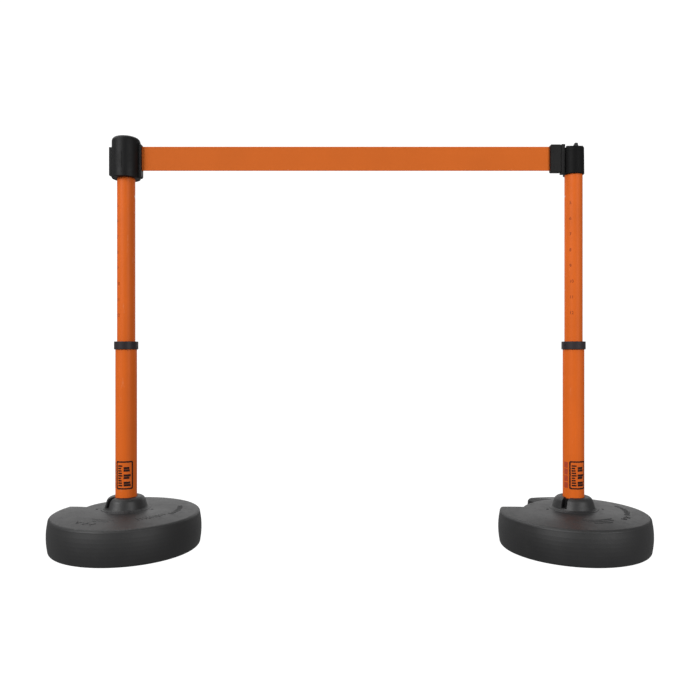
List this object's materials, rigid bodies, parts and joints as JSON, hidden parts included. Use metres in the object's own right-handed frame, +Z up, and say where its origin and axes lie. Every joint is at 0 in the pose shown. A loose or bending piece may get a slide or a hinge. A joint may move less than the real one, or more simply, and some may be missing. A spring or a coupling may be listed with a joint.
{
  "type": "retractable belt barrier",
  "caption": "Portable crowd barrier: telescoping plastic posts on round fillable bases, joined by a retractable belt that hooks into a receiver.",
  "frame": {"origin": "on the floor, midway between the axes of the two posts", "axes": "+X along the belt from the canister's post to the receiving post, +Y to the back, +Z up"},
  "size_m": [1.5607, 0.3866, 1.0718],
  "materials": {
    "base_plastic": "moulded, fine satin texture",
    "black_plastic": "moulded satin",
    "collar_plastic": "moulded satin",
    "canister_plastic": "moulded, fine texture",
    "clip_plastic": "moulded, fine texture",
    "receiver_plastic": "moulded, fine texture",
    "orange_plastic": "extruded satin, faint lengthwise lines",
    "nylon": "moulded satin",
    "webbing": "woven polyester",
    "steel": "zinc plated",
    "spring_steel": "blued"
  },
  "bodies": {
    "left_base": {"base_shell_left": "base_plastic", "lower_tube_left": "orange_plastic", "tube_foot_left": "black_plastic", "post_key_left": "black_plastic", "collet_left": "nylon"},
    "left_plug": {"fill_plug_left": "base_plastic"},
    "left_collar": {"twist_collar_left": "collar_plastic"},
    "left_mast": {"upper_tube_left": "orange_plastic", "guide_bush_left": "nylon", "head_pin_left": "steel", "canister_adapter": "black_plastic", "canister_body": "canister_plastic", "canister_cap": "canister_plastic", "canister_screws": "steel", "exit_bezel": "canister_plastic", "guide_pins": "steel", "spool_arbor": "steel", "belt_lead": "webbing", "power_spring": "spring_steel", "spring_cover": "nylon"},
    "spool": {"belt_spool": "nylon", "belt_roll": "webbing"},
    "belt": {"belt_strip": "webbing"},
    "clip": {"belt_tail": "webbing", "clip_front": "clip_plastic", "clip_back": "clip_plastic", "clip_hook": "clip_plastic", "clip_rivets": "clip_plastic"},
    "right_base": {"base_shell_right": "base_plastic", "lower_tube_right": "orange_plastic", "tube_foot_right": "black_plastic", "post_key_right": "black_plastic", "collet_right": "nylon"},
    "right_plug": {"fill_plug_right": "base_plastic"},
    "right_collar": {"twist_collar_right": "collar_plastic"},
    "right_mast": {"upper_tube_right": "orange_plastic", "guide_bush_right": "nylon", "head_pin_right": "steel", "receiver_cap": "receiver_plastic", "lever_screw": "steel"},
    "lever": {"lock_lever": "black_plastic"}
  },
  "joints": [
    {"name": "left_height", "type": "slide", "parent": "left_base", "child": "left_mast", "axis": [0, 0, 1], "range_m": [-0.42, 0]},
    {"name": "left_collar_twist", "type": "hinge", "parent": "left_base", "child": "left_collar", "pos_m": [-0.587, 0, 0.5268], "axis": [0, 0, 1], "range_deg": [0, 90]},
    {"name": "left_plug_pull", "type": "slide", "parent": "left_base", "child": "left_plug", "axis": [-0.7163, 0.6978, 0], "range_m": [0, 0.03]},
    {"name": "spool_turn", "type": "hinge", "parent": "left_mast", "child": "spool", "pos_m": [-0.587, 0, 1.01], "axis": [0, 0, 1], "range_deg": [-1760, 0], "deforming": ["power_spring"]},
    {"name": "belt_lift", "type": "hinge", "parent": "left_mast", "child": "belt", "pos_m": [-0.547, 0, 1.01675], "axis": [0, -1, 0], "range_deg": [0, 3.8]},
    {"name": "belt_draw", "type": "slide", "parent": "belt", "child": "clip", "axis": [1, 0, 0], "range_m": [-0.75, 0], "deforming": ["belt_strip"]},
    {"name": "post_spacing", "type": "slide", "parent": "left_base", "child": "right_base", "axis": [1, 0, 0], "range_m": [-0.75, 0]},
    {"name": "right_height", "type": "slide", "parent": "right_base", "child": "right_mast", "axis": [0, 0, 1], "range_m": [-0.42, 0]},
    {"name": "right_collar_twist", "type": "hinge", "parent": "right_base", "child": "right_collar", "pos_m": [0.587, 0, 0.5268], "axis": [0, 0, 1], "range_deg": [0, 90]},
    {"name": "right_plug_pull", "type": "slide", "parent": "right_base", "child": "right_plug", "axis": [-0.7163, 0.6978, 0], "range_m": [0, 0.03]},
    {"name": "lever_swing", "type": "hinge", "parent": "right_mast", "child": "lever", "pos_m": [0.587, 0, 1.0455], "axis": [0, 0, -1], "range_deg": [0, 30]}
  ],
  "couplings": [
    {"joint": "right_height", "follows": "left_height", "ratio": 1},
    {"joint": "belt_draw", "follows": "post_spacing", "ratio": 1},
    {"joint": "spool_turn", "follows": "post_spacing", "rad_per_m": 40.816}
  ]
}
